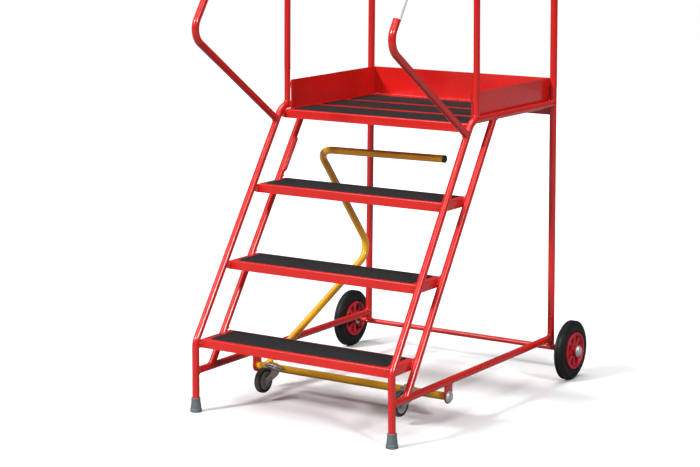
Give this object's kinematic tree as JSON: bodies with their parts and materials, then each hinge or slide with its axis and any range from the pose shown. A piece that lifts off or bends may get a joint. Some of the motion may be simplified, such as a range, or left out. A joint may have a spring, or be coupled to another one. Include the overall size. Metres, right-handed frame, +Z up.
{
  "type": "library ladder",
  "caption": "Mobile library steps with gritted treads, a guarded platform and handrails, rear wheels, and a yellow lever that lowers swivel castors.",
  "frame": {"origin": "middle of the footprint, on the floor", "axes": "+Z up, +X to the right seen from the front, +Y from the front feet toward the rear wheels"},
  "size_m": [1.048, 1.2388, 2.0127],
  "materials": {
    "red_enamel": "glossy red powder coat",
    "yellow_enamel": "glossy yellow powder coat",
    "grit_mat": "matt, fine grit",
    "black_tyre": "satin black rubber",
    "crimson_plastic": "semi-gloss crimson",
    "grey_rubber": "matt blue-grey",
    "castor_tread": "matt grey-brown",
    "grey_plastic": "satin pale grey",
    "black_plastic": "satin black",
    "label_film": "white film, blank",
    "bright_zinc": "bright zinc plate"
  },
  "bodies": {
    "frame": {"axle_cap_left": "bright_zinc", "axle_cap_right": "bright_zinc", "base_rail_left": "red_enamel", "base_rail_right": "red_enamel", "foot_left": "grey_rubber", "foot_right": "grey_rubber", "front_stringer_left": "red_enamel", "front_stringer_right": "red_enamel", "guard_post_left": "red_enamel", "guard_post_right": "red_enamel", "handrail_label": "label_film", "handrail_left": "red_enamel", "handrail_right": "red_enamel", "knee_rail_left": "red_enamel", "knee_rail_right": "red_enamel", "lever_bracket_left": "red_enamel", "lever_bracket_right": "red_enamel", "lever_catch": "red_enamel", "platform_mat_1": "grit_mat", "platform_mat_2": "grit_mat", "platform_mat_3": "grit_mat", "platform_tray": "red_enamel", "rear_cross_tube": "red_enamel", "rear_knee_rail": "red_enamel", "rear_post_left": "red_enamel", "rear_post_right": "red_enamel", "rear_stringer_left": "red_enamel", "rear_stringer_right": "red_enamel", "rear_top_rail": "red_enamel", "toe_board": "red_enamel", "tread_mat_1": "grit_mat", "tread_mat_2": "grit_mat", "tread_mat_3": "grit_mat", "tread_tray_1": "red_enamel", "tread_tray_2": "red_enamel", "tread_tray_3": "red_enamel"},
    "lever": {"castor_bar": "yellow_enamel", "lever_tube": "yellow_enamel", "lever_end_plug": "black_plastic", "pivot_cap_left": "bright_zinc", "pivot_cap_right": "bright_zinc", "castor_plate_left": "yellow_enamel", "castor_nut_left": "bright_zinc", "castor_housing_left": "bright_zinc", "castor_plate_right": "yellow_enamel", "castor_nut_right": "bright_zinc", "castor_housing_right": "bright_zinc"},
    "rear_wheel_left": {"wheel_tyre_left": "black_tyre", "wheel_hub_left": "crimson_plastic"},
    "castor_fork_body_left": {"castor_fork_left": "bright_zinc", "castor_axle_left": "bright_zinc"},
    "castor_wheel_left": {"castor_tyre_left": "castor_tread", "castor_core_left": "grey_plastic"},
    "rear_wheel_right": {"wheel_tyre_right": "black_tyre", "wheel_hub_right": "crimson_plastic"},
    "castor_fork_body_right": {"castor_fork_right": "bright_zinc", "castor_axle_right": "bright_zinc"},
    "castor_wheel_right": {"castor_tyre_right": "castor_tread", "castor_core_right": "grey_plastic"}
  },
  "joints": [
    {"name": "lever_hinge", "type": "hinge", "parent": "frame", "child": "lever", "pos_m": [0, -0.2364, 0.09], "axis": [1, 0, 0], "range_deg": [0, 20]},
    {"name": "castor_swivel_left", "type": "hinge", "parent": "lever", "child": "castor_fork_body_left", "pos_m": [-0.283, -0.30238, 0.1116], "axis": [0, 0.4695, 0.8829], "continuous": true},
    {"name": "castor_wheel_spin_left", "type": "hinge", "parent": "castor_fork_body_left", "child": "castor_wheel_left", "pos_m": [-0.283, -0.3611, 0.07657], "axis": [1, 0, 0], "continuous": true},
    {"name": "rear_wheel_spin_left", "type": "hinge", "parent": "frame", "child": "rear_wheel_left", "pos_m": [-0.4815, 0.5094, 0.11], "axis": [1, 0, 0], "continuous": true},
    {"name": "castor_swivel_right", "type": "hinge", "parent": "lever", "child": "castor_fork_body_right", "pos_m": [0.283, -0.30238, 0.1116], "axis": [0, 0.4695, 0.8829], "continuous": true},
    {"name": "castor_wheel_spin_right", "type": "hinge", "parent": "castor_fork_body_right", "child": "castor_wheel_right", "pos_m": [0.283, -0.3611, 0.07657], "axis": [1, 0, 0], "continuous": true},
    {"name": "rear_wheel_spin_right", "type": "hinge", "parent": "frame", "child": "rear_wheel_right", "pos_m": [0.4815, 0.5094, 0.11], "axis": [1, 0, 0], "continuous": true}
  ]
}
